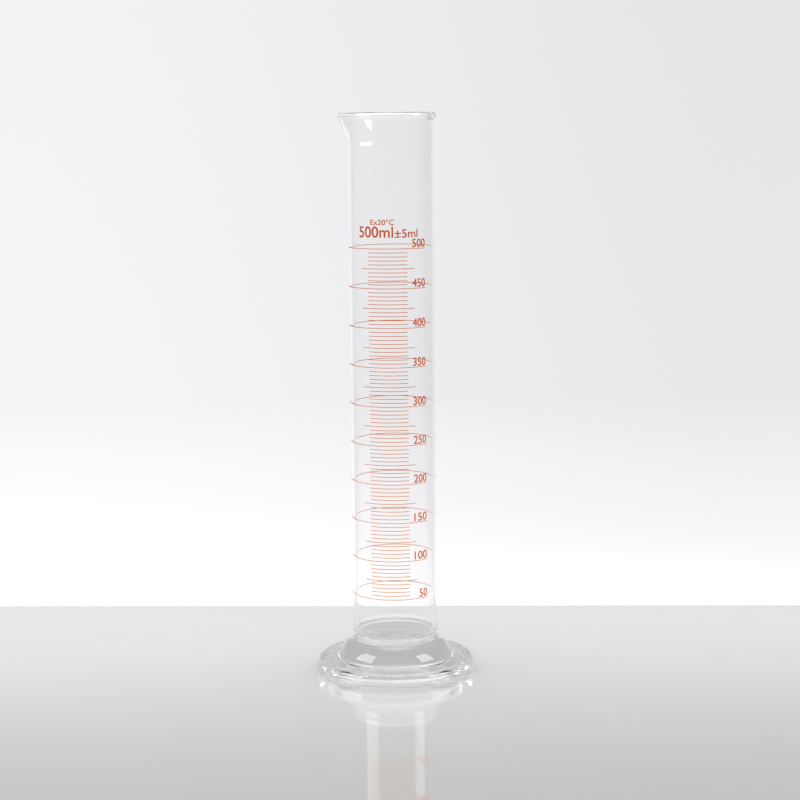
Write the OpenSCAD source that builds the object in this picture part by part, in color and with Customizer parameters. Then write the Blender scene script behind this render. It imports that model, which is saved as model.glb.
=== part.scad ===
// Graduated measuring cylinder, 500 ml, in clear glass with a fired enamel scale.
// The tube stands on +Z with the middle of its scale facing -Y and its pouring lip towards -X.
// The origin is the centre of the foot, on the table. All sizes are millimetres.

/* [Glass tube] */
// Outer diameter of the tube
tube_d = 54.8; // [50:0.2:60]
// Thickness of the tube wall
wall = 2.1; // [1.6:0.1:3]
// Height of the inside floor above the dome of the foot
floor_rise = 4.9; // [3:0.1:10]
// Radius of the rounded corner round the inside floor
floor_round = 3; // [1:0.5:6]
// Height from the top scale line to the rim
head_room = 84.2; // [50:0.2:120]

/* [Foot] */
// Diameter of the foot
foot_d = 102.4; // [90:0.2:120]
// Thickness of the foot's flange
flange_h = 10; // [8:0.5:12]
// Radius of the flange's upper edge
upper_edge = 3.2; // [1:0.2:4]
// Radius of the flange's lower edge
lower_edge = 2.2; // [1:0.2:3]
// Radius from the axis to the widest part of the dome under the tube
dome_r = 37; // [35:0.5:39]
// Height of the dome above the flange, up to where the tube is fused on
dome_rise = 13.1; // [12:0.1:15]
// Radius of the dome's rounded side, one arc from the hollow corner to the tube
dome_round = 14; // [12:0.5:16]
// Radius of the hollow corner between the dome and the flange
waist_round = 2; // [1:0.5:5]
// Width of the ring that the foot stands on, with its rounded edge
stand_w = 6; // [5:0.1:14]
// Depth of the flat hollow inside that ring
hollow_h = 3.5; // [3.1:0.1:5]
// Radius of the hollow's rounded corner
hollow_round = 3; // [1:0.5:3]

/* [Fused seam] */
// Height of the seam's groove above the dome
seam_rise = 2.7; // [2:0.1:4]
// Radius of the tool mark that makes the groove
seam_mark = 0.7; // [0.4:0.1:1]
// Depth of the groove in the wall
seam_depth = 0.35; // [0.2:0.05:0.5]

/* [Rim and pouring lip] */
// Height of the beaded rim
bead_h = 4.2; // [3:0.2:6]
// How far the bead stands out from the tube
bead_out = 1; // [0.4:0.1:2]
// How far the pouring lip's beak stands out from the flanks beside it
lip_out = 4.6; // [2:0.1:8]
// How far the flanks beside the beak are drawn out with it
flank_out = 1.3; // [0:0.1:3]
// Half the angle over which the flanks fall back to the round tube
flank_span = 45; // [30:1:60]
// Height over which the wall is drawn out into the lip
lip_h = 18.5; // [12:0.5:30]
// Glass drawn thinner at the lip's tip
lip_thin = 0.2; // [0:0.1:0.8]
// Half the angle over which the tip is rounded
lip_blunt = 6; // [3:1:12]
// Share of the bead that is drawn flat at the tip
bead_fade = 0.8; // [0:0.1:1]
// Half the angle over which the bead fades
fade_span = 30; // [15:1:45]

/* [Scale] */
// Volume at the lowest line, in millilitres
first_ml = 50; // [25:25:100]
// Volume at the top line, in millilitres
last_ml = 500; // [400:50:550]
// Volume between neighbouring lines, in millilitres
step_ml = 5; // [5:5:25]
// Height of a printed line
line_h = 0.4; // [0.3:0.05:0.6]
// Thickness of the fired enamel
enamel = 0.1; // [0.05:0.05:0.2]
// Angle that a short line spans
short_span = 53.5; // [30:0.5:60]
// Angle that a longer line spans, at every 25 ml
long_span = 73.5; // [62:0.5:90]
// Angle of the bare gap in a line that runs round the tube, at every 50 ml
ring_gap = 37.5; // [20:0.5:60]
// Angle from the scale's middle to the end of such a line, past its numeral
ring_end = 55.5; // [48:0.5:70]

/* [Hidden] */

$fn = 96;
round_steps = 96;
lift_steps = 9;
bead_steps = 4;
arch_steps = 10;
edge_steps = 8;
dome_steps = 12;
ring_ml = 50;
long_ml = 25;

// The drawn wall starts this much inside the tube's two faces, which keeps their joint clean
joint_step = 0.02;
// Plain round wall below the lip in the same solid
plain_h = 1;

tube_r = tube_d / 2;
bore_r = tube_r - wall;
foot_r = foot_d / 2;
hollow_r = foot_r - stand_w;
dome_h = flange_h + dome_rise;
floor_h = dome_h + floor_rise;
seam_h = dome_h + seam_rise;

// Glass in the rounded floor corner, a square less its quarter circle, lifts every line a little
corner_area = (1 - PI / 4) * pow(floor_round, 2);
corner_centre = (5 / 6 - PI / 4) / (1 - PI / 4) * floor_round;
corner_ml = corner_area * 2 * PI * (bore_r - corner_centre) / 1000;

// Height of the line for a volume, from the bore that holds it
function line_z(ml) = floor_h + (ml + corner_ml) * 1000 / (PI * pow(bore_r, 2));

rim_z = line_z(last_ml) + head_room;
crown_z = rim_z - bead_h / 2;
bead_z = rim_z - bead_h;
lift_z = rim_z - lip_h;
tube_top = lift_z - plain_h;

// Directions of the middle of the scale and of the lip, counted from +X
front = -90;
lip_side = 180;

// How far the wall has been drawn out at a height, from 0 to 1: a soft start, then straight
softness = 0.15;
function drawn(z) =
    let (t = max(0, (z - lift_z) / (crown_z - lift_z)))
    (sqrt(t * t + softness * softness) - softness) / (sqrt(1 + softness * softness) - softness);

// Radius of a round wall with a beak: two tangents that meet in a blunt tip
function beak(base, tip, a) =
    let (reach = acos(base / tip) + lip_blunt)
    base / cos(max(0, reach - sqrt(a * a + lip_blunt * lip_blunt)));

// Angle from the lip's middle, from -180 to 180
function off_lip(i) = 360 * i / round_steps - 180;

function flank(z, a) = flank_out * drawn(z) * exp(-pow(a / flank_span, 2));
function outer_r(z, a) = beak(tube_r, tube_r + lip_out * drawn(z), a) + flank(z, a) - joint_step;
function inner_r(z, a) =
    beak(bore_r, bore_r + (lip_out + lip_thin) * drawn(z), a) + flank(z, a) + joint_step;

// The bead swells from the wall to the crown and fades out along the drawn lip
function swell(z) = z <= bead_z ? 0 : sin(90 * min(1, (z - bead_z) / (crown_z - bead_z)));
function bead(z, a) = bead_out * swell(z) * (1 - bead_fade * exp(-pow(a / fade_span, 2)));

function side_out(z, a) = [outer_r(z, a) + bead(z, a), z];
function side_in(z, a) = [inner_r(z, a), z];
function arch(turn, a) =
    let (r_out = side_out(crown_z, a)[0], r_in = side_in(crown_z, a)[0])
    [(r_out + r_in) / 2 + (r_out - r_in) / 2 * cos(turn), crown_z + bead_h / 2 * sin(turn)];

// The wall's section at one angle: up the outside, over the crown and down the inside
function lip_section(a) = concat(
    [side_out(tube_top, a)],
    [for (k = [0:lift_steps]) side_out(lift_z + (bead_z - lift_z) * k / lift_steps, a)],
    [for (k = [1:bead_steps - 1]) side_out(bead_z + (crown_z - bead_z) * k / bead_steps, a)],
    [for (k = [0:arch_steps]) arch(180 * k / arch_steps, a)],
    [for (k = [1:lift_steps + 1]) side_in(crown_z + (lift_z - crown_z) * k / (lift_steps + 1), a)],
    [side_in(tube_top, a)]
);

module lip_zone() {
    sections = [for (i = [0:round_steps - 1]) lip_section(off_lip(i))];
    count = len(sections[0]);
    points = [
        for (i = [0:round_steps - 1]) for (p = sections[i])
            [p[0] * cos(lip_side + off_lip(i)), p[0] * sin(lip_side + off_lip(i)), p[1]]
    ];
    faces = [
        for (i = [0:round_steps - 1]) for (k = [0:count - 1])
            let (
                j = (i + 1) % round_steps,
                n = (k + 1) % count,
                a = i * count + k,
                b = j * count + k,
                c = j * count + n,
                d = i * count + n
            )
            each [[a, c, b], [a, d, c]]
    ];
    polyhedron(points = points, faces = faces, convexity = 6);
}

// Points of an arc round a centre
function arc(centre, r, from, to, steps) =
    [for (k = [0:steps]) centre + r * [
        cos(from + (to - from) * k / steps),
        sin(from + (to - from) * k / steps)
    ]];

// The pressed foot: hollow underside, flange, hollow corner and dome, whose two arcs touch
module foot_section() {
    dome_centre = [dome_r - dome_round, dome_h - dome_round];
    waist_z = flange_h + waist_round;
    reach = dome_round + waist_round;
    touch = asin((waist_z - dome_centre[1]) / reach);
    waist_centre = [dome_centre[0] + reach * cos(touch), waist_z];
    polygon(concat(
        [[0, hollow_h]],
        arc([hollow_r - hollow_round, hollow_h - hollow_round], hollow_round, 90, 0, edge_steps),
        [[hollow_r, 0]],
        arc([foot_r - lower_edge, lower_edge], lower_edge, -90, 0, edge_steps),
        arc([foot_r - upper_edge, flange_h - upper_edge], upper_edge, 0, 90, edge_steps),
        arc(waist_centre, waist_round, -90, touch - 180, edge_steps),
        arc(dome_centre, dome_round, touch, 90, dome_steps),
        [[0, dome_h]]
    ));
}

module inside_section() {
    polygon(concat(
        [[0, floor_h]],
        arc([bore_r - floor_round, floor_h + floor_round], floor_round, -90, 0, edge_steps),
        [[bore_r, tube_top + wall], [0, tube_top + wall]]
    ));
}

module seam_section() {
    translate([tube_r - seam_depth + seam_mark, seam_h]) circle(r = seam_mark);
}

module glass_section() {
    difference() {
        union() {
            foot_section();
            translate([0, flange_h]) square([tube_r, tube_top - flange_h]);
        }
        inside_section();
        seam_section();
    }
}

module glass_cylinder() {
    color([0.85, 0.93, 0.92, 0.35]) {
        rotate_extrude() glass_section();
        lip_zone();
    }
}

// One printed line, from one angle to another, at the height of its volume
module printed_line(ml, from, to) {
    rotate_extrude(angle = to - from, start = front + from)
        translate([tube_r, line_z(ml) - line_h / 2])
            square([enamel, line_h]);
}

module enamel_red() {
    color([0.80, 0.23, 0.07]) children();
}

module ring_lines() {
    enamel_red()
        for (ml = [first_ml:step_ml:last_ml])
            if (ml % ring_ml == 0)
                printed_line(ml, ring_end + ring_gap - 360, ring_end);
}

module long_lines() {
    enamel_red()
        for (ml = [first_ml:step_ml:last_ml])
            if (ml % long_ml == 0 && ml % ring_ml != 0)
                printed_line(ml, -long_span / 2, long_span / 2);
}

module short_lines() {
    enamel_red()
        for (ml = [first_ml:step_ml:last_ml])
            if (ml % long_ml != 0)
                printed_line(ml, -short_span / 2, short_span / 2);
}

glass_cylinder();
ring_lines();
long_lines();
short_lines();
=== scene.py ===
"""Looks of a 500 ml graduated glass cylinder, built round its packed construction model.

Every size is in metres, in the construction model's own frame: the foot stands on z = 0, the middle of
the scale faces -Y and the pouring lip points to -X.
"""

import logging
import math
from collections.abc import Sequence
from dataclasses import dataclass, field
from enum import Enum

import bmesh
import bpy
import numpy as np
from mathutils import Matrix, Vector


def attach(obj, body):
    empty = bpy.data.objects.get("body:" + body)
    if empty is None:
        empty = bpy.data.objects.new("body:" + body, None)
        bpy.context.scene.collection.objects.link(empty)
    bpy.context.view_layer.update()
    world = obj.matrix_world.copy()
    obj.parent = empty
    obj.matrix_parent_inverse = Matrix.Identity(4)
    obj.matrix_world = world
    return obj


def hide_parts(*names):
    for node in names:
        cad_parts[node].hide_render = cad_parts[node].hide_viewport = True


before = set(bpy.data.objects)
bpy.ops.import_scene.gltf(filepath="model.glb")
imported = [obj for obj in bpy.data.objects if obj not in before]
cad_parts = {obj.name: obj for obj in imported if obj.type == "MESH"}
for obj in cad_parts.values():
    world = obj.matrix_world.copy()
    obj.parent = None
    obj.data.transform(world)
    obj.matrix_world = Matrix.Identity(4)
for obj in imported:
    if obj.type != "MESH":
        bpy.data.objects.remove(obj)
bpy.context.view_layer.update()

logging.basicConfig(level=logging.INFO, format="%(levelname)s %(message)s")
log = logging.getLogger("graduated_cylinder")

BODY = "root"
FRONT = math.radians(-90)
LIP_SIDE = math.radians(180)
PATH_LENGTH = 64

Point = tuple[float, float]
Colour = tuple[float, float, float]
Socket = bpy.types.NodeSocket
Number = float | Socket
Paint = Colour | Socket


class Slot(Enum):
    """Material slots of the record."""

    GLASS = "clear_glass"
    ENAMEL = "red_enamel"


class Align(Enum):
    """Which end of a printed word stays at its given angle."""

    LEFT = "left"
    RIGHT = "right"


class NodeBoard:
    """A small helper that adds nodes to one node tree and links them."""

    def __init__(self, tree: bpy.types.NodeTree) -> None:
        """Start with an empty tree.

        Args:
            tree: the node tree to fill. What it held before is removed.
        """
        self.tree = tree
        tree.nodes.clear()

    def add(
        self, kind: str, values: dict[str | int, object] | None = None, **settings: object
    ) -> bpy.types.Node:
        """Add one node.

        Args:
            kind: the node's type name.
            values: what its input sockets get, a number or colour, or an output socket to link.
            **settings: the node's own properties.

        Returns:
            The new node.
        """
        node = self.tree.nodes.new(kind)
        for name, value in settings.items():
            setattr(node, name, value)
        for key, value in (values or {}).items():
            if isinstance(value, Socket):
                self.tree.links.new(value, node.inputs[key])
            else:
                node.inputs[key].default_value = value
        return node

    def math(
        self, operation: str, first: Number, second: Number = 0.0, third: Number | None = None
    ) -> Socket:
        """Add a Math node and return its result.

        Args:
            operation: the node's operation.
            first: number or socket for the first input.
            second: number or socket for the second input.
            third: number or socket for the third input, where the operation has one.

        Returns:
            The result's socket.
        """
        values = {0: first, 1: second}
        if third is not None:
            values[2] = third
        return self.add("ShaderNodeMath", values, operation=operation).outputs[0]

    def remap(self, value: Socket, source: Point, target: Point) -> Socket:
        """Carry a value smoothly from one range to another, and hold it at the ends.

        Args:
            value: the socket to read.
            source: the range that is read.
            target: the range that comes out.

        Returns:
            The result's socket.
        """
        values = {"Value": value, "From Min": source[0], "From Max": source[1]}
        values |= {"To Min": target[0], "To Max": target[1]}
        return self.add("ShaderNodeMapRange", values, interpolation_type="SMOOTHSTEP").outputs["Result"]

    def blend(self, share: Number, first: Paint, second: Paint) -> Socket:
        """Mix two colours.

        Args:
            share: how much of the second colour is taken, a number or a socket.
            first: the first colour or its socket.
            second: the second colour or its socket.

        Returns:
            The mixed colour's socket.
        """
        node = self.add("ShaderNodeMix", {"Factor": share}, data_type="RGBA")
        for index, value in ((6, first), (7, second)):
            if isinstance(value, Socket):
                self.tree.links.new(value, node.inputs[index])
            else:
                node.inputs[index].default_value = (*value, 1.0)
        return node.outputs[2]

    def noise(self, place: Socket, scale: float, detail: float) -> Socket:
        """Add a noise pattern and return its strength, from 0 to 1."""
        values = {"Vector": place, "Scale": scale, "Detail": detail}
        return self.add("ShaderNodeTexNoise", values).outputs["Fac"]

    def along(self, direction: Socket, axis: Vector) -> Socket:
        """Add the part of a direction or place that lies along an axis.

        Args:
            direction: socket of the direction or place.
            axis: the axis, one unit long.

        Returns:
            The part's socket.
        """
        values = {0: direction, 1: tuple(axis)}
        return self.add("ShaderNodeVectorMath", values, operation="DOT_PRODUCT").outputs["Value"]


@dataclass(frozen=True)
class ClearGlass:
    """Fire-polished clear glass, drawn in the tube and pressed in the foot.

    The tube has faint draw lines along its length, the pressed foot has soft ripples, and both are gone
    at the scale of a hand's width. Thick glass has the faint green of its iron.
    """

    ior: float = 1.473
    draw_line_scale: float = 260.0
    draw_line_detail: float = 2.0
    draw_line_stretch: float = 0.02
    draw_line_depth: float = 0.0000012
    ripple_scale: float = 95.0
    ripple_detail: float = 1.5
    ripple_depth: float = 0.000035
    ripple_span: Point = (0.35, 0.7)
    foot_top: float = 0.0245
    tube_start: float = 0.0290
    roughness_range: Point = (0.0, 0.012)
    tint: Colour = (0.86, 0.95, 0.89)
    tint_density: float = 1.6

    def build(self) -> bpy.types.Material:
        """Make the material.

        Returns:
            The clear glass.
        """
        material = bpy.data.materials.new("clear_glass")
        material.use_nodes = True
        board = NodeBoard(material.node_tree)
        place = board.add("ShaderNodeTexCoord").outputs["Object"]
        stretched = board.add(
            "ShaderNodeMapping", {"Vector": place, "Scale": (1, 1, self.draw_line_stretch)}
        ).outputs["Vector"]
        lines = board.noise(stretched, self.draw_line_scale, self.draw_line_detail)
        ripples = board.noise(place, self.ripple_scale, self.ripple_detail)
        height = board.add("ShaderNodeSeparateXYZ", {"Vector": place}).outputs["Z"]
        in_tube = board.remap(height, (self.foot_top, self.tube_start), (0, 1))
        in_foot = board.math("SUBTRACT", 1.0, in_tube)
        relief = board.math(
            "ADD",
            board.math("MULTIPLY", board.math("MULTIPLY", lines, self.draw_line_depth), in_tube),
            board.math("MULTIPLY", board.math("MULTIPLY", ripples, self.ripple_depth), in_foot),
        )
        bump = board.add("ShaderNodeBump", {"Height": relief, "Strength": 1.0, "Distance": 1.0})
        shader = board.add(
            "ShaderNodeBsdfPrincipled",
            {
                "Base Color": (1, 1, 1, 1),
                "Roughness": board.remap(ripples, self.ripple_span, self.roughness_range),
                "IOR": self.ior,
                "Transmission Weight": 1.0,
                "Normal": bump.outputs["Normal"],
            },
        )
        inside = board.add(
            "ShaderNodeVolumeAbsorption", {"Color": (*self.tint, 1), "Density": self.tint_density}
        )
        board.add(
            "ShaderNodeOutputMaterial",
            {"Surface": shader.outputs[0], "Volume": inside.outputs[0]},
        )
        return material


@dataclass(frozen=True)
class FiredEnamel:
    """Red-orange screen-printed enamel, fired on: satin, with thinner and thicker grains.

    The print is painted paler down the tube, as painted glare from the bright backdrop behind its lower
    part.
    Some light comes through it from behind, which shows on the far side of the tube.
    """

    name: str = "red_enamel"
    thick: Colour = (0.38, 0.050, 0.001)
    thin: Colour = (0.50, 0.090, 0.004)
    # Painted glare: a paler colour, its share and the heights over which it fades out, lightest low on the
    # tube where the backdrop behind is brightest.
    faded: Colour = (0.68, 0.150, 0.010)
    faded_share: float = 0.85
    fade_heights: Point = (0.05, 0.27)
    patch_scale: float = 900.0
    patch_detail: float = 3.0
    patch_span: Point = (0.35, 0.65)
    grain_scale: float = 9000.0
    grain_detail: float = 2.0
    grain_span: Point = (0.3, 0.7)
    grain_depth: float = 0.000004
    roughness_range: Point = (0.32, 0.48)
    gloss: float = 0.1
    glow_through: float = 0.7
    glow_reach: Colour = (1.0, 0.6, 0.4)
    glow_depth: float = 0.0005

    def build(self) -> bpy.types.Material:
        """Make the material.

        Returns:
            The fired enamel.
        """
        material = bpy.data.materials.new(self.name)
        material.use_nodes = True
        board = NodeBoard(material.node_tree)
        place = board.add("ShaderNodeTexCoord").outputs["Object"]
        patches = board.noise(place, self.patch_scale, self.patch_detail)
        grains = board.noise(place, self.grain_scale, self.grain_detail)
        full = board.blend(board.remap(patches, self.patch_span, (0, 1)), self.thick, self.thin)
        height = board.add("ShaderNodeSeparateXYZ", {"Vector": place}).outputs["Z"]
        # Painted glare: the colour is mixed paler towards the bottom of the tube.
        glare = board.remap(height, self.fade_heights, (self.faded_share, 0))
        colour = board.blend(glare, full, self.faded)
        bump = board.add(
            "ShaderNodeBump", {"Height": grains, "Strength": 1.0, "Distance": self.grain_depth}
        )
        shader = board.add(
            "ShaderNodeBsdfPrincipled",
            {
                "Base Color": colour,
                "Roughness": board.remap(grains, self.grain_span, self.roughness_range),
                "Specular IOR Level": self.gloss,
                "Subsurface Weight": self.glow_through,
                "Subsurface Radius": self.glow_reach,
                "Subsurface Scale": self.glow_depth,
                "Normal": bump.outputs["Normal"],
            },
        )
        board.add("ShaderNodeOutputMaterial", {"Surface": shader.outputs[0]})
        return material


WORD_ENAMEL = FiredEnamel()
LINE_ENAMEL = FiredEnamel(
    "thin_red_enamel",
    thick=(0.46, 0.090, 0.001),
    thin=(0.58, 0.140, 0.002),
    # painted glare colour of the lines, low on the tube
    faded=(0.92, 0.260, 0.006),
)


class Profile:
    """Half section of a turned form, drawn point by point as radius and height."""

    SUPPORT = 0.00015
    SHORTEST = 1e-7
    EDGE_STEPS = 20

    def __init__(self, radius: float, height: float) -> None:
        """Start at one point.

        Args:
            radius: distance of the first point from the axis.
            height: its height.
        """
        self.points: list[Point] = [(radius, height)]

    def line_to(self, radius: float, height: float) -> None:
        """Draw a straight stretch, with a close point at each end that holds the shading.

        Args:
            radius: distance of the stretch's end from the axis.
            height: its height.
        """
        start = Vector(self.points[-1])
        end = Vector((radius, height))
        length = (end - start).length
        if length < self.SHORTEST:
            return
        if length > 4 * self.SUPPORT:
            along = (end - start).normalized() * self.SUPPORT
            self.points += [tuple(start + along), tuple(end - along)]
        self.points.append((radius, height))

    def arc(self, centre: Point, radius: float, start: float, end: float) -> None:
        """Draw an arc, after a straight stretch to its first point.

        Args:
            centre: radius and height of the arc's centre.
            radius: the arc's own radius.
            start: angle of its first point in degrees, counted from the outward direction.
            end: angle of its last point in degrees.
        """
        steps = max(3, round(self.EDGE_STEPS * abs(end - start) / 90))
        angles = np.radians(np.linspace(start, end, steps + 1))
        drawn = [(centre[0] + radius * math.cos(a), centre[1] + radius * math.sin(a)) for a in angles]
        self.line_to(*drawn[0])
        self.points += drawn[1:]


@dataclass(frozen=True)
class Foot:
    """Pressed foot: a flat hollow in a standing ring, a flange, a hollow corner and a round-sided dome."""

    radius: float = 0.0512
    flange_height: float = 0.010
    upper_edge: float = 0.0032
    lower_edge: float = 0.0022
    dome_radius: float = 0.037
    dome_rise: float = 0.0131
    dome_round: float = 0.014
    waist_round: float = 0.002
    stand_width: float = 0.006
    hollow_depth: float = 0.0035
    hollow_round: float = 0.003

    @property
    def dome_height(self) -> float:
        """Height at which the tube is fused on."""
        return self.flange_height + self.dome_rise

    def draw(self, joint_radius: float) -> Profile:
        """Draw the foot from the axis of its underside up to the tube.

        Args:
            joint_radius: outer radius of the tube that stands on the dome.

        Returns:
            The profile, which ends on the dome beside the tube.
        """
        hollow_radius = self.radius - self.stand_width
        corner = (hollow_radius - self.hollow_round, self.hollow_depth - self.hollow_round)
        profile = Profile(0.0, self.hollow_depth)
        profile.arc(corner, self.hollow_round, 90, 0)
        profile.line_to(hollow_radius, 0.0)
        profile.arc((self.radius - self.lower_edge, self.lower_edge), self.lower_edge, -90, 0)
        upper_centre = (self.radius - self.upper_edge, self.flange_height - self.upper_edge)
        profile.arc(upper_centre, self.upper_edge, 0, 90)
        dome_centre = (self.dome_radius - self.dome_round, self.dome_height - self.dome_round)
        waist_height = self.flange_height + self.waist_round
        reach = self.dome_round + self.waist_round
        touch = math.asin((waist_height - dome_centre[1]) / reach)
        waist_centre = (dome_centre[0] + reach * math.cos(touch), waist_height)
        profile.arc(waist_centre, self.waist_round, -90, math.degrees(touch) - 180)
        top = math.degrees(math.acos((joint_radius - dome_centre[0]) / self.dome_round))
        profile.arc(dome_centre, self.dome_round, math.degrees(touch), top)
        return profile


@dataclass(frozen=True)
class Tube:
    """Drawn tube with its rounded inside floor and the groove of the fused seam."""

    radius: float = 0.0274
    wall: float = 0.0021
    floor_rise: float = 0.0049
    floor_round: float = 0.003
    seam_rise: float = 0.0027
    seam_mark: float = 0.0007
    seam_depth: float = 0.00035
    head_room: float = 0.0842

    @property
    def bore_radius(self) -> float:
        """Radius of the inside."""
        return self.radius - self.wall

    def corner_volume(self) -> float:
        """Work out the volume of the glass in the rounded floor corner.

        Returns:
            The volume in cubic metres.
        """
        area = (1 - math.pi / 4) * self.floor_round**2
        centre = (5 / 6 - math.pi / 4) / (1 - math.pi / 4) * self.floor_round
        return area * 2 * math.pi * (self.bore_radius - centre)

    def draw_seam(self, profile: Profile, dome_height: float) -> None:
        """Draw the groove round the fused joint and the tube's first stretch above it.

        Args:
            profile: the profile, which ends on the dome beside the tube.
            dome_height: height of the dome's top.
        """
        centre = (self.radius - self.seam_depth + self.seam_mark, dome_height + self.seam_rise)
        half = math.degrees(math.acos((centre[0] - self.radius) / self.seam_mark))
        profile.arc(centre, self.seam_mark, -180 + half, -180 - half)

    def draw_inside(self, profile: Profile, floor_height: float) -> None:
        """Draw the bore and the rounded inside floor, down to the axis.

        Args:
            profile: the profile, which ends in the bore.
            floor_height: height of the inside floor.
        """
        centre = (self.bore_radius - self.floor_round, floor_height + self.floor_round)
        profile.arc(centre, self.floor_round, 0, -90)
        profile.line_to(0.0, floor_height)


@dataclass(frozen=True)
class Rim:
    """Beaded rim whose wall is drawn out into a pouring lip with a blunt beak."""

    bead_height: float = 0.0042
    bead_out: float = 0.001
    lip_out: float = 0.0046
    flank_out: float = 0.0013
    flank_span: float = 45.0
    lip_height: float = 0.0185
    lip_thin: float = 0.0002
    lip_blunt: float = 6.0
    bead_fade: float = 0.8
    fade_span: float = 30.0
    softness: float = 0.15
    lift_steps: int = 30
    bead_steps: int = 9
    crown_steps: int = 22

    def drawn(self, share: np.ndarray | float) -> np.ndarray | float:
        """Say how far the wall has been drawn out.

        Args:
            share: height from the start of the lip, 0, to the crown, 1.

        Returns:
            The share of the lip's reach: a soft start, then straight.
        """
        soft = self.softness
        return (np.sqrt(share**2 + soft**2) - soft) / (math.sqrt(1 + soft**2) - soft)

    def beak(self, base: float, tip: float, turn: np.ndarray) -> np.ndarray:
        """Radius of a round wall with a beak, which is two tangents that meet in a blunt tip.

        Args:
            base: radius of the round wall.
            tip: radius at which the two tangents would meet.
            turn: angles from the lip's middle, in degrees.

        Returns:
            The radius at each angle.
        """
        reach = math.degrees(math.acos(base / tip)) + self.lip_blunt
        away = np.maximum(0, reach - np.hypot(turn, self.lip_blunt))
        return base / np.cos(np.radians(away))

    def flank(self, share: float, turn: np.ndarray) -> np.ndarray:
        """How far the flanks beside the beak are drawn out, for each angle."""
        return self.flank_out * self.drawn(share) * np.exp(-((turn / self.flank_span) ** 2))

    def bead(self, swell: float, turn: np.ndarray) -> np.ndarray:
        """How far the bead stands out from the wall, for each angle."""
        return self.bead_out * swell * (1 - self.bead_fade * np.exp(-((turn / self.fade_span) ** 2)))


@dataclass
class GlassCylinder:
    """The one piece of glass: foot, tube, seam, rim and pouring lip."""

    foot: Foot = field(default_factory=Foot)
    tube: Tube = field(default_factory=Tube)
    rim: Rim = field(default_factory=Rim)
    turn_steps: int = 288

    @property
    def floor_height(self) -> float:
        """Height of the inside floor."""
        return self.foot.dome_height + self.tube.floor_rise

    def level(self, millilitres: float) -> float:
        """Find the height that a volume reaches in the bore.

        Args:
            millilitres: the volume.

        Returns:
            The height above the table.
        """
        filled = millilitres * 1e-6 + self.tube.corner_volume()
        return self.floor_height + filled / (math.pi * self.tube.bore_radius**2)

    def stations(self, rim_height: float) -> tuple[np.ndarray, np.ndarray]:
        """Work out the whole skin as rings, from the underside's axis to the inside floor's.

        Args:
            rim_height: height of the rim's crown.

        Returns:
            Radius and height of every point, one row for each ring and one column for each angle.
        """
        rim, tube = self.rim, self.tube
        angles = 2 * math.pi * np.arange(self.turn_steps) / self.turn_steps
        turn = np.degrees(np.mod(angles - LIP_SIDE + math.pi, 2 * math.pi) - math.pi)
        crown = rim_height - rim.bead_height / 2
        bead_start = rim_height - rim.bead_height
        lift = rim_height - rim.lip_height

        def share(height: float) -> float:
            """How far up the lip a height is, from 0 at its start to 1 at the crown."""
            return max(0.0, (height - lift) / (crown - lift))

        def outer(height: float) -> np.ndarray:
            """Work out the outside, with the drawn lip and the bead.

            Args:
                height: height of the ring.

            Returns:
                The radius at each angle.
            """
            reach = tube.radius + rim.lip_out * rim.drawn(share(height))
            rise = min(1.0, max(0.0, (height - bead_start) / (crown - bead_start)))
            wall = rim.beak(tube.radius, reach, turn) + rim.flank(share(height), turn)
            return wall + rim.bead(math.sin(math.pi / 2 * rise), turn)

        def inner(height: float) -> np.ndarray:
            """Radius of the inside at a height, for each angle."""
            reach = tube.bore_radius + (rim.lip_out + rim.lip_thin) * rim.drawn(share(height))
            return rim.beak(tube.bore_radius, reach, turn) + rim.flank(share(height), turn)

        below = self.foot.draw(tube.radius)
        tube.draw_seam(below, self.foot.dome_height)
        below.line_to(tube.radius, lift)
        rings = [(np.full(self.turn_steps, r), z) for r, z in below.points]
        rings += [(outer(z), z) for z in np.linspace(lift, bead_start, rim.lift_steps + 1)[1:]]
        rings += [(outer(z), z) for z in np.linspace(bead_start, crown, rim.bead_steps + 1)[1:]]
        out, back = outer(crown), inner(crown)
        for arch in np.linspace(0, math.pi, rim.crown_steps + 1)[1:]:
            middle, half = (out + back) / 2, (out - back) / 2
            rings.append((middle + half * math.cos(arch), crown + rim.bead_height / 2 * math.sin(arch)))
        rings += [(inner(z), z) for z in np.linspace(crown, lift, rim.lift_steps + rim.bead_steps)[1:]]
        above = Profile(tube.bore_radius, lift)
        tube.draw_inside(above, self.floor_height)
        rings += [(np.full(self.turn_steps, r), z) for r, z in above.points[1:]]
        radius = np.array([r for r, _ in rings])
        height = np.array([np.full(self.turn_steps, z) for _, z in rings])
        return radius, height

    def build(self, glass: bpy.types.Material, rim_height: float) -> bpy.types.Object:
        """Build the glass as one closed skin.

        Args:
            glass: the finish.
            rim_height: height of the rim's crown.

        Returns:
            The finished piece.
        """
        radius, height = self.stations(rim_height)
        count = self.turn_steps
        angles = 2 * math.pi * np.arange(count) / count
        x, y = radius * np.cos(angles), radius * np.sin(angles)
        rings = np.stack([x, y, height], axis=2)[1:-1]
        points = [(0, 0, height[0, 0]), *map(tuple, rings.reshape(-1, 3)), (0, 0, height[-1, 0])]
        last = len(points) - 1
        faces: list[tuple[int, ...]] = []
        for i in range(count):
            j = (i + 1) % count
            faces.append((0, 1 + j, 1 + i))
            for k in range(len(rings) - 1):
                low, high = 1 + k * count, 1 + (k + 1) * count
                faces.append((low + i, low + j, high + j, high + i))
            top = 1 + (len(rings) - 1) * count
            faces.append((top + i, top + j, last))
        mesh = bpy.data.meshes.new("blown_glass")
        mesh.from_pydata(points, [], faces)
        mesh.shade_smooth()
        mesh.materials.append(glass)
        piece = bpy.data.objects.new("blown_glass", mesh)
        bpy.context.scene.collection.objects.link(piece)
        return piece


@dataclass(frozen=True)
class LineKind:
    """One kind of printed line: which volumes it marks and how far round it runs."""

    name: str
    node: str
    every_ml: int
    except_ml: int
    start: float
    end: float


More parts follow.
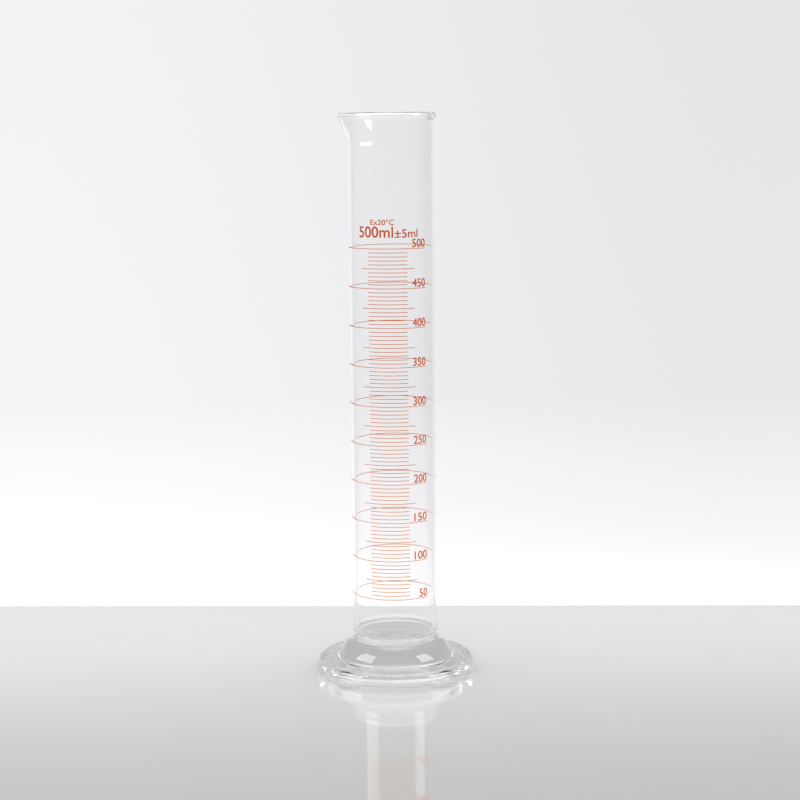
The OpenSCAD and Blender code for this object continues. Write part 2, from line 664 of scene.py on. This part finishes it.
@dataclass
class PrintedScale:
    """The fired scale: ring lines, longer and short lines, made by one Geometry Nodes tree."""

    tube_radius: float
    first_ml: int = 50
    last_ml: int = 500
    step_ml: int = 5
    long_ml: int = 25
    ring_ml: int = 50
    line_height: float = 0.0004
    enamel: float = 0.0001
    film: float = 0.00002
    short_span: float = 53.5
    long_span: float = 73.5
    ring_gap: float = 37.5
    ring_end: float = 55.5
    bend_step: float = 1.25

    def kinds(self) -> list[LineKind]:
        """List the kinds of line.

        Returns:
            The three kinds, in the order in which they are printed.
        """
        never = 10 * self.last_ml
        ring_start = self.ring_end + self.ring_gap - 360
        half_long, half_short = self.long_span / 2, self.short_span / 2
        ring, long, short = self.ring_ml, self.long_ml, self.step_ml
        return [
            LineKind("ring_line_print", "ring_lines", ring, never, ring_start, self.ring_end),
            LineKind("long_line_print", "long_lines", long, ring, -half_long, half_long),
            LineKind("short_line_print", "short_lines", short, long, -half_short, half_short),
        ]

    def tree(self) -> bpy.types.GeometryNodeTree:
        """Build the tree that prints a bent bar at every chosen height of a ladder of heights.

        Returns:
            The tree, with named inputs.
        """
        tree = bpy.data.node_groups.new("printed_lines", "GeometryNodeTree")
        board = NodeBoard(tree)
        for name, kind in (
            ("Count", "NodeSocketInt"),
            ("First Number", "NodeSocketInt"),
            ("Every", "NodeSocketInt"),
            ("Except", "NodeSocketInt"),
            ("First Height", "NodeSocketFloat"),
            ("Spacing", "NodeSocketFloat"),
            ("Radius", "NodeSocketFloat"),
            ("Start Angle", "NodeSocketFloat"),
            ("Sweep Angle", "NodeSocketFloat"),
            ("Bend Steps", "NodeSocketInt"),
            ("Thickness", "NodeSocketFloat"),
            ("Line Height", "NodeSocketFloat"),
            ("Finish", "NodeSocketMaterial"),
        ):
            tree.interface.new_socket(name, in_out="INPUT", socket_type=kind)
        tree.interface.new_socket("Geometry", in_out="OUTPUT", socket_type="NodeSocketGeometry")
        given = board.add("NodeGroupInput").outputs
        start = board.add("ShaderNodeCombineXYZ", {"Z": given["First Height"]}).outputs[0]
        offset = board.add("ShaderNodeCombineXYZ", {"Z": given["Spacing"]}).outputs[0]
        ladder = board.add(
            "GeometryNodeMeshLine",
            {"Count": given["Count"], "Start Location": start, "Offset": offset},
            mode="OFFSET",
        )
        number = board.math("ADD", board.add("GeometryNodeInputIndex").outputs[0], given["First Number"])
        marked = board.math("COMPARE", board.math("MODULO", number, given["Every"]), 0.0, 0.5)
        barred = board.math("COMPARE", board.math("MODULO", number, given["Except"]), 0.0, 0.5)
        chosen = board.math("SUBTRACT", marked, barred)
        path = board.add(
            "GeometryNodeCurveArc",
            {
                "Resolution": given["Bend Steps"],
                "Radius": given["Radius"],
                "Start Angle": given["Start Angle"],
                "Sweep Angle": given["Sweep Angle"],
            },
            mode="RADIUS",
        )
        section = board.add(
            "GeometryNodeCurvePrimitiveQuadrilateral",
            {"Width": given["Thickness"], "Height": given["Line Height"]},
            mode="RECTANGLE",
        )
        upright = board.add("GeometryNodeSetCurveNormal", {"Curve": path.outputs["Curve"]}, mode="Z_UP")
        bar = board.add(
            "GeometryNodeCurveToMesh",
            {"Curve": upright.outputs["Curve"], "Profile Curve": section.outputs[0], "Fill Caps": True},
        )
        placed = board.add(
            "GeometryNodeInstanceOnPoints",
            {"Points": ladder.outputs["Mesh"], "Selection": chosen, "Instance": bar.outputs["Mesh"]},
        )
        solid = board.add("GeometryNodeRealizeInstances", {"Geometry": placed.outputs["Instances"]})
        dressed = board.add(
            "GeometryNodeSetMaterial",
            {"Geometry": solid.outputs["Geometry"], "Material": given["Finish"]},
        )
        board.add("NodeGroupOutput", {"Geometry": dressed.outputs["Geometry"]})
        return tree

    def build(self, cylinder: GlassCylinder, enamel: bpy.types.Material) -> list[bpy.types.Object]:
        """Print every kind of line.

        Args:
            cylinder: the glass, which knows the height of each volume.
            enamel: the finish.

        Returns:
            One piece for each kind of line, named for what it prints.
        """
        tree = self.tree()
        inner = self.tube_radius + self.film
        outer = self.tube_radius + self.enamel
        pieces = []
        for kind in self.kinds():
            sweep = kind.end - kind.start
            values = {
                "Count": (self.last_ml - self.first_ml) // self.step_ml + 1,
                "First Number": self.first_ml // self.step_ml,
                "Every": kind.every_ml // self.step_ml,
                "Except": kind.except_ml // self.step_ml,
                "First Height": cylinder.level(self.first_ml),
                "Spacing": cylinder.level(self.step_ml) - cylinder.level(0),
                "Radius": (inner + outer) / 2,
                "Start Angle": FRONT + math.radians(kind.start),
                "Sweep Angle": math.radians(sweep),
                "Bend Steps": round(sweep / self.bend_step) + 1,
                "Thickness": outer - inner,
                "Line Height": self.line_height,
                "Finish": enamel,
            }
            pieces.append(run_tree(kind.name, tree, values))
        return pieces


def run_tree(
    name: str, tree: bpy.types.GeometryNodeTree, values: dict[str, object]
) -> bpy.types.Object:
    """Run a Geometry Nodes tree once and keep its result as a plain mesh.

    Args:
        name: name of the new piece.
        tree: the tree to run.
        values: what its named inputs get.

    Returns:
        The piece, with outward faces and no modifier.
    """
    piece = bpy.data.objects.new(name, bpy.data.meshes.new(name))
    bpy.context.scene.collection.objects.link(piece)
    modifier = piece.modifiers.new("print", "NODES")
    modifier.node_group = tree
    for item in tree.interface.items_tree:
        if item.in_out == "INPUT":
            modifier[item.identifier] = values[item.name]
    graph = bpy.context.evaluated_depsgraph_get()
    mesh = bpy.data.meshes.new_from_object(piece.evaluated_get(graph), depsgraph=graph)
    piece.modifiers.remove(modifier)
    empty, piece.data = piece.data, mesh
    bpy.data.meshes.remove(empty)
    mesh.name = name
    finish = mesh.materials[-1]
    mesh.materials.clear()
    mesh.materials.append(finish)
    mesh.polygons.foreach_set("material_index", [0] * len(mesh.polygons))
    turn_faces_outwards(mesh)
    return piece


def turn_faces_outwards(mesh: bpy.types.Mesh) -> None:
    """Merge doubles and turn every face of a closed mesh outwards.

    Args:
        mesh: the mesh to change.
    """
    work = bmesh.new()
    work.from_mesh(mesh)
    bmesh.ops.remove_doubles(work, verts=work.verts, dist=1e-7)
    bmesh.ops.recalc_face_normals(work, faces=work.faces)
    work.to_mesh(mesh)
    work.free()


@dataclass(frozen=True)
class Word:
    """One printed word or number: where it stands and how large it is."""

    text: str
    angle: float
    base: float
    height: float
    width: float
    align: Align = Align.LEFT


@dataclass
class Lettering:
    """Words bent round the tube: flat letters made a mesh, cut into narrow strips and wrapped."""

    tube_radius: float
    enamel: float = 0.0001
    film: float = 0.00002
    strip: float = 0.0006
    weight: float = 0.014
    half_depth: float = 0.5
    curve_steps: int = 6
    merge: float = 1e-5

    def flat(self, word: Word) -> bmesh.types.BMesh:
        """Make a word's flat mesh at its real size, its start or end at x = 0.

        Args:
            word: what to print.

        Returns:
            The mesh, with z from 0 to the enamel's whole thickness.
        """
        curve = bpy.data.curves.new("letters", "FONT")
        curve.body = word.text
        curve.extrude = self.half_depth
        curve.resolution_u = self.curve_steps
        holder = bpy.data.objects.new("letters", curve)
        bpy.context.scene.collection.objects.link(holder)
        graph = bpy.context.evaluated_depsgraph_get()
        mesh = bpy.data.meshes.new_from_object(holder.evaluated_get(graph), depsgraph=graph)
        bpy.data.objects.remove(holder)
        bpy.data.curves.remove(curve)
        work = bmesh.new()
        work.from_mesh(mesh)
        bpy.data.meshes.remove(mesh)
        bmesh.ops.remove_doubles(work, verts=work.verts, dist=self.merge)
        self.embolden(work)
        low = [min(v.co[axis] for v in work.verts) for axis in range(3)]
        high = [max(v.co[axis] for v in work.verts) for axis in range(3)]
        scale = (word.width / (high[0] - low[0]), word.height / (high[1] - low[1]))
        scale += ((self.enamel - self.film) / (high[2] - low[2]),)
        shift = (low[0] if word.align is Align.LEFT else high[0], low[1], low[2])
        for v in work.verts:
            v.co = [(v.co[axis] - shift[axis]) * scale[axis] for axis in range(3)]
        return work

    def embolden(self, work: bmesh.types.BMesh) -> None:
        """Move the sides of flat letters outwards by the added weight, which leaves their openings open.

        Args:
            work: the word's flat mesh, in the font's own units.
        """
        bmesh.ops.recalc_face_normals(work, faces=work.faces)
        pushes = []
        for v in work.verts:
            sides = [face.normal for face in v.link_faces if abs(face.normal.z) < 0.5]
            pushes.append(sum(sides, Vector()).normalized() * self.weight)
        for v, push in zip(work.verts, pushes):
            v.co += push

    def cut(self, work: bmesh.types.BMesh) -> None:
        """Cut a flat word into narrow upright strips, so that it can follow the tube.

        Args:
            work: the word's flat mesh.
        """
        low, high = (f(v.co.x for v in work.verts) for f in (min, max))
        for place in np.arange(low + self.strip, high, self.strip):
            parts = [*work.verts, *work.edges, *work.faces]
            bmesh.ops.bisect_plane(work, geom=parts, plane_co=(place, 0, 0), plane_no=(1, 0, 0), dist=1e-8)
        bmesh.ops.triangulate(work, faces=work.faces)

    def build(self, name: str, words: Sequence[Word], enamel: bpy.types.Material) -> bpy.types.Object:
        """Print several words as one piece.

        Args:
            name: name of the piece.
            words: what to print.
            enamel: the finish.

        Returns:
            The finished piece.
        """
        points: list[Point] = []
        faces: list[list[int]] = []
        for word in words:
            work = self.flat(word)
            self.cut(work)
            work.verts.index_update()
            first = len(points)
            for v in work.verts:
                angle = FRONT + math.radians(word.angle) + v.co.x / self.tube_radius
                radius = self.tube_radius + self.film + v.co.z
                points.append((radius * math.cos(angle), radius * math.sin(angle), word.base + v.co.y))
            faces += [[first + v.index for v in face.verts] for face in work.faces]
            work.free()
        mesh = bpy.data.meshes.new(name)
        mesh.from_pydata(points, [], faces)
        mesh.materials.append(enamel)
        turn_faces_outwards(mesh)
        piece = bpy.data.objects.new(name, mesh)
        bpy.context.scene.collection.objects.link(piece)
        return piece


@dataclass
class ScaleWords:
    """What the print says: a numeral at each ring line, and the capacity above the scale."""

    digit_height: float = 0.0054
    digit_width: float = 0.00335
    numeral_rise: float = 0.0007
    numeral_end: float = 54.8
    capacity_rise: float = 0.0069
    volume_angle: float = -40.9
    volume_size: Point = (0.0072, 0.0235)
    tolerance_angle: float = 10.3
    tolerance_size: Point = (0.0053, 0.0153)
    temperature_rise: float = 0.0148
    temperature_angle: float = -22.5
    temperature_size: Point = (0.0036, 0.0154)

    def numerals(self, scale: PrintedScale, cylinder: GlassCylinder) -> list[Word]:
        """List the numerals, each over the end of its ring line.

        Args:
            scale: the printed scale.
            cylinder: the glass, which knows the height of each volume.

        Returns:
            The numerals from the lowest to the highest.
        """
        words = []
        for millilitres in range(scale.first_ml, scale.last_ml + 1, scale.ring_ml):
            text = str(millilitres)
            base = cylinder.level(millilitres) + self.numeral_rise
            width = self.digit_width * len(text)
            words.append(Word(text, self.numeral_end, base, self.digit_height, width, Align.RIGHT))
        return words

    def capacity(self, scale: PrintedScale, cylinder: GlassCylinder) -> list[Word]:
        """List the words of the capacity mark: volume, tolerance and temperature.

        Args:
            scale: the printed scale.
            cylinder: the glass, which knows the height of each volume.

        Returns:
            The three words.
        """
        top = cylinder.level(scale.last_ml)
        low, high = top + self.capacity_rise, top + self.temperature_rise
        return [
            Word(f"{scale.last_ml}ml", self.volume_angle, low, *self.volume_size),
            Word("±5ml", self.tolerance_angle, low, *self.tolerance_size),
            Word("Ex20°C", self.temperature_angle, high, *self.temperature_size),
        ]


@dataclass(frozen=True)
class Viewpoint:
    """The photograph's camera, found from the ring lines' fronts and backs."""

    distance: float = 1.2192
    height: float = 0.3514
    azimuth: float = math.radians(6.3)
    pitch: float = 0.1412
    yaw: float = 0.00355
    roll: float = -0.0093
    lens: float = 86.18
    sensor: float = 36.0

    @property
    def forward(self) -> Vector:
        """Level direction from the camera to the cylinder."""
        return Vector((-math.sin(self.azimuth), math.cos(self.azimuth), 0))

    @property
    def right(self) -> Vector:
        """Level direction to the camera's right."""
        return Vector((math.cos(self.azimuth), math.sin(self.azimuth), 0))

    def build(self) -> bpy.types.Object:
        """Make the camera and set it as the scene's.

        Returns:
            The camera.
        """
        data = bpy.data.cameras.new("photograph_view")
        data.lens, data.sensor_width = self.lens, self.sensor
        data.clip_start, data.clip_end = 0.01, 100.0
        camera = bpy.data.objects.new("photograph_view", data)
        turn = (
            Matrix.Rotation(self.azimuth - self.yaw, 4, "Z")
            @ Matrix.Rotation(math.pi / 2 - self.pitch, 4, "X")
            @ Matrix.Rotation(self.roll, 4, "Z")
        )
        place = -self.distance * self.forward + Vector((0, 0, self.height))
        camera.matrix_world = Matrix.Translation(place) @ turn
        bpy.context.scene.collection.objects.link(camera)
        bpy.context.scene.camera = camera
        return camera


@dataclass(frozen=True)
class SoftBox:
    """One soft box: where it stands about the cylinder and how large and bright it is."""

    name: str
    azimuth: float
    distance: float
    low: float
    high: float
    width: float
    watts: float


@dataclass(frozen=True)
class PaleTableTop:
    """Smooth pale table top, with painted shade: a little darker towards the camera, where the light from
    behind falls off, and to the right.
    """

    view: Viewpoint
    # Painted shade: greys for the light falling off towards the camera and to the right.
    depth: Point = (-0.30, 0.170)
    depth_grey: Point = (0.505, 0.95)
    side: Point = (-0.28, 0.28)
    side_grey: Point = (1.03, 0.97)
    mottle_scale: float = 18.0
    mottle_detail: float = 4.0
    mottle_grey: Point = (0.99, 1.01)
    blue_share: float = 0.985
    roughness: float = 0.02
    ior: float = 1.6
    coat_roughness: float = 0.01
    coat_ior: float = 1.5

    def build(self) -> bpy.types.Material:
        """Make the material.

        Returns:
            The table top.
        """
        material = bpy.data.materials.new("table_top")
        material.use_nodes = True
        board = NodeBoard(material.node_tree)
        place = board.add("ShaderNodeTexCoord").outputs["Object"]
        # Painted shade: the grey falls towards the camera and to the right; only the mottle is the top's own
        # random tone.
        back = board.remap(board.along(place, self.view.forward), self.depth, self.depth_grey)
        edge = board.remap(board.along(place, self.view.right), self.side, self.side_grey)
        mottle = board.noise(place, self.mottle_scale, self.mottle_detail)
        spots = board.remap(mottle, (0, 1), self.mottle_grey)
        grey = board.math("MULTIPLY", board.math("MULTIPLY", back, edge), spots)
        blue = board.math("MULTIPLY", grey, self.blue_share)
        colour = board.add("ShaderNodeCombineColor", {0: grey, 1: grey, 2: blue})
        shader = board.add(
            "ShaderNodeBsdfPrincipled",
            {
                "Base Color": colour.outputs[0],
                "Roughness": self.roughness,
                "IOR": self.ior,
                "Coat Weight": 1.0,
                "Coat IOR": self.coat_ior,
                "Coat Roughness": self.coat_roughness,
            },
        )
        board.add("ShaderNodeOutputMaterial", {"Surface": shader.outputs[0]})
        return material


@dataclass
class Studio:
    """A pale room: a bright backdrop, a dim room behind the camera, two soft boxes and a table."""

    view: Viewpoint
    backdrop_stops: tuple[Point, ...] = (
        (-16.0, 1.10),
        (-12.9, 1.04),
        (-12.4, 0.99),
        (-11.1, 0.935),
        (-9.7, 0.90),
        (-8.0, 0.845),
        (4.0, 0.825),
    )
    side_fall: Point = (1.08, 0.965)
    side_reach: float = 0.2
    backdrop_tint: Colour = (1.0, 0.995, 1.02)
    backdrop_sides: Point = (-0.85, -0.60)
    backdrop_top: Point = (0.14, 0.24)
    room_rise: Point = (-0.05, 0.15)
    ceiling_rise: Point = (0.50, 0.60)
    room_light: float = 0.48
    wall_light: float = 0.48
    ceiling_light: float = 0.72
    fill_light: float = 1.20
    table_far: float = 0.170
    table_near: float = 0.75
    table_half_width: float = 0.95
    table_turn: float = -2.1
    table_thickness: float = 0.02
    table_edge: float = 0.002
    air_gap: float = 0.00015
    soft_boxes: tuple[SoftBox, ...] = (
        SoftBox("left_soft_box", azimuth=-69.5, distance=1.3, low=0.329, high=1.50, width=0.92, watts=22.0),
        SoftBox("right_soft_box", azimuth=68.0, distance=1.3, low=0.365, high=1.50, width=0.70, watts=17.0),
    )

    def build_world(self) -> None:
        """Make the room's light: one look for what is seen straight or through glass, one for gloss."""
        world = bpy.data.worlds.new("pale_room")
        bpy.context.scene.world = world
        world.use_nodes = True
        board = NodeBoard(world.node_tree)
        direction = board.add("ShaderNodeTexCoord").outputs["Generated"]
        sine = board.add("ShaderNodeSeparateXYZ", {"Vector": direction}).outputs["Z"]
        first, last = (math.sin(math.radians(self.backdrop_stops[i][0])) for i in (0, -1))
        ramp = board.add(
            "ShaderNodeValToRGB",
            {"Fac": board.add("ShaderNodeMapRange", {0: sine, 1: first, 2: last}).outputs["Result"]},
        )
        elements = ramp.color_ramp.elements
        for elevation, _ in self.backdrop_stops[1:-1]:
            elements.new((math.sin(math.radians(elevation)) - first) / (last - first))
        for element, (_, level) in zip(elements, self.backdrop_stops):
            element.color = (*(level * c for c in self.backdrop_tint), 1)
        side = board.along(direction, self.view.right)
        fall = board.remap(side, (-self.side_reach, self.side_reach), self.side_fall)
        backdrop = board.add(
            "ShaderNodeVectorMath", {0: ramp.outputs["Color"], "Scale": fall}, operation="SCALE"
        ).outputs["Vector"]
        front = board.along(direction, -self.view.forward)
        walls = board.remap(sine, self.room_rise, (self.room_light, self.wall_light))
        overhead = board.remap(sine, self.ceiling_rise, (0, self.ceiling_light - self.wall_light))
        level = board.math("ADD", walls, overhead)
        dim = board.add("ShaderNodeCombineColor", {0: level, 1: level, 2: level}).outputs[0]
        behind = board.remap(front, self.backdrop_sides, (1, 0))
        low = board.remap(sine, self.backdrop_top, (1, 0))
        room = board.blend(board.math("MULTIPLY", behind, low), dim, backdrop)
        path = board.add("ShaderNodeLightPath").outputs
        mirrored = board.math("GREATER_THAN", path["Glossy Depth"], 0.5)
        seen = board.blend(mirrored, backdrop, room)
        scattered = board.math("GREATER_THAN", path["Diffuse Depth"], 0.5)
        light = board.blend(scattered, seen, (self.fill_light,) * 3)
        shine = board.add("ShaderNodeBackground", {"Color": light})
        board.add("ShaderNodeOutputWorld", {"Surface": shine.outputs[0]})

    def build_table(self) -> bpy.types.Object:
        """Make the table, whose far edge is seen as the photograph's straight line.

        Returns:
            The table.
        """
        length = self.table_far + self.table_near
        mesh = bpy.data.meshes.new("table")
        work = bmesh.new()
        bmesh.ops.create_cube(work, size=1)
        turn = Matrix.Rotation(self.view.azimuth + math.radians(self.table_turn), 3, "Z")
        for v in work.verts:
            x = v.co.x * 2 * self.table_half_width
            y = self.table_far + (v.co.y - 0.5) * length
            z = (v.co.z - 0.5) * self.table_thickness - self.air_gap
            v.co = turn @ Vector((x, y, z))
        edges = {"offset": self.table_edge, "segments": 3, "affect": "EDGES", "profile": 0.5}
        bmesh.ops.bevel(work, geom=work.edges, **edges)
        work.to_mesh(mesh)
        work.free()
        mesh.materials.append(PaleTableTop(self.view).build())
        table = bpy.data.objects.new("table", mesh)
        bpy.context.scene.collection.objects.link(table)
        return table

    def build_lights(self) -> None:
        """Hang the soft boxes, which show only as reflections in the glass."""
        for box in self.soft_boxes:
            data = bpy.data.lights.new(box.name, "AREA")
            data.shape = "RECTANGLE"
            data.size, data.size_y = box.width, box.high - box.low
            data.energy = box.watts
            lamp = bpy.data.objects.new(box.name, data)
            angle = self.view.azimuth + math.radians(box.azimuth)
            away = Vector((math.sin(angle), -math.cos(angle), 0)) * box.distance
            away.z = (box.low + box.high) / 2
            level = Vector((away.x, away.y, 0))
            lamp.matrix_world = Matrix.Translation(away) @ level.to_track_quat("Z", "Y").to_matrix().to_4x4()
            lamp.visible_camera = False
            lamp.visible_transmission = False
            lamp.visible_diffuse = False
            bpy.context.scene.collection.objects.link(lamp)


def set_light_paths() -> None:
    """Let rays pass through all the walls of the foot before they end, and keep colours plain."""
    cycles = bpy.context.scene.cycles
    cycles.max_bounces = cycles.transmission_bounces = cycles.glossy_bounces = PATH_LENGTH
    view = bpy.context.scene.view_settings
    view.view_transform = "Standard"
    view.look = "None"


def seat(piece: bpy.types.Object, slot: Slot, *nodes: str) -> None:
    """Let a piece ride on the part, hide the construction nodes that it stands for, and report it.

    Args:
        piece: the finished piece.
        slot: the record's material slot; not used.
        *nodes: the construction nodes that it stands for.
    """
    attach(piece, BODY)
    if nodes:
        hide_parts(*nodes)
    log.info("%s: %d faces", piece.name, len(piece.data.polygons))


def main() -> None:
    """Build the cylinder, its print, the studio and the camera."""
    view = Viewpoint()
    view.build()
    set_light_paths()
    studio = Studio(view)
    studio.build_world()
    studio.build_table()
    studio.build_lights()

    glass, word_enamel, line_enamel = (x.build() for x in (ClearGlass(), WORD_ENAMEL, LINE_ENAMEL))
    cylinder = GlassCylinder()
    rim_height = cylinder.level(500) + cylinder.tube.head_room
    seat(cylinder.build(glass, rim_height), Slot.GLASS, "glass_cylinder")

    scale = PrintedScale(cylinder.tube.radius)
    for kind, piece in zip(scale.kinds(), scale.build(cylinder, line_enamel)):
        seat(piece, Slot.ENAMEL, kind.node)
    words = ScaleWords()
    lettering = Lettering(cylinder.tube.radius)
    seat(lettering.build("numerals", words.numerals(scale, cylinder), word_enamel), Slot.ENAMEL)
    seat(lettering.build("capacity_mark", words.capacity(scale, cylinder), word_enamel), Slot.ENAMEL)


if __name__ == "__main__":
    main()
